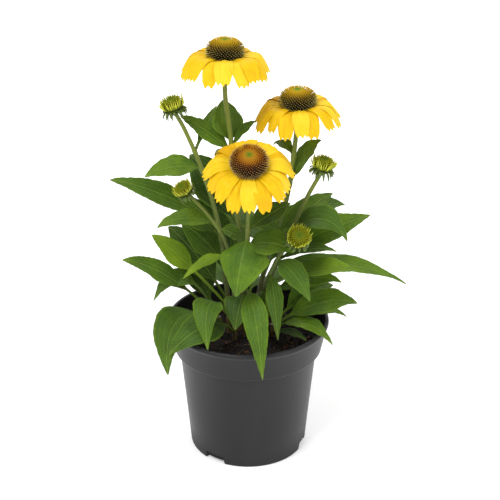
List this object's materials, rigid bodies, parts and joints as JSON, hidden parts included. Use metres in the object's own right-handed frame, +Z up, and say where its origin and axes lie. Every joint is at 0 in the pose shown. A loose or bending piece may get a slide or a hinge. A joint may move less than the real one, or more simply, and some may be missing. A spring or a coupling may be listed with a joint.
{
  "type": "potted yellow coneflower",
  "caption": "Potted yellow coneflower: daisy blooms with drooping notched rays round domed spiny cones, green buds and pointed leaves on upright stems, in a round black nursery pot.",
  "frame": {"origin": "centre of the pot's flat foot, on the ground", "axes": "+Z up along the pot's axis and away from the foot; -Y towards the plant's front; +X to the right seen from the front"},
  "size_m": [0.3012, 0.1959, 0.4445],
  "materials": {
    "pot_black": "thin moulded black plastic with a soft sheen",
    "soil_brown": "damp dark peat and bark mix with crumbs",
    "leaf_green": "hairy mid-green leaf with paler veins and olive stem",
    "ray_yellow": "satin golden-yellow petal with fine lengthwise grooves",
    "cone_brown": "stiff spiny florets, dark brown below, orange above and green at the eye",
    "bud_ray_green": "matt yellow-green young petal",
    "bud_disc_green": "bristly olive-green disc"
  },
  "bodies": {
    "root": {"cone_front_bloom": "cone_brown", "cone_right_bloom": "cone_brown", "cone_top_bloom": "cone_brown", "disc_lower_left_bud": "bud_disc_green", "disc_lower_right_bud": "bud_disc_green", "disc_upper_left_bud": "bud_disc_green", "disc_upper_right_bud": "bud_disc_green", "leaves_low_back": "leaf_green", "leaves_low_left": "leaf_green", "leaves_low_right": "leaf_green", "pot": "pot_black", "rays_front_bloom": "ray_yellow", "rays_lower_left_bud": "bud_ray_green", "rays_lower_right_bud": "bud_ray_green", "rays_right_bloom": "ray_yellow", "rays_top_bloom": "ray_yellow", "rays_upper_left_bud": "bud_ray_green", "rays_upper_right_bud": "bud_ray_green", "soil": "soil_brown", "stem_front_bloom": "leaf_green", "stem_lower_left_bud": "leaf_green", "stem_lower_right_bud": "leaf_green", "stem_right_bloom": "leaf_green", "stem_top_bloom": "leaf_green", "stem_upper_left_bud": "leaf_green", "stem_upper_right_bud": "leaf_green"}
  },
  "joints": []
}
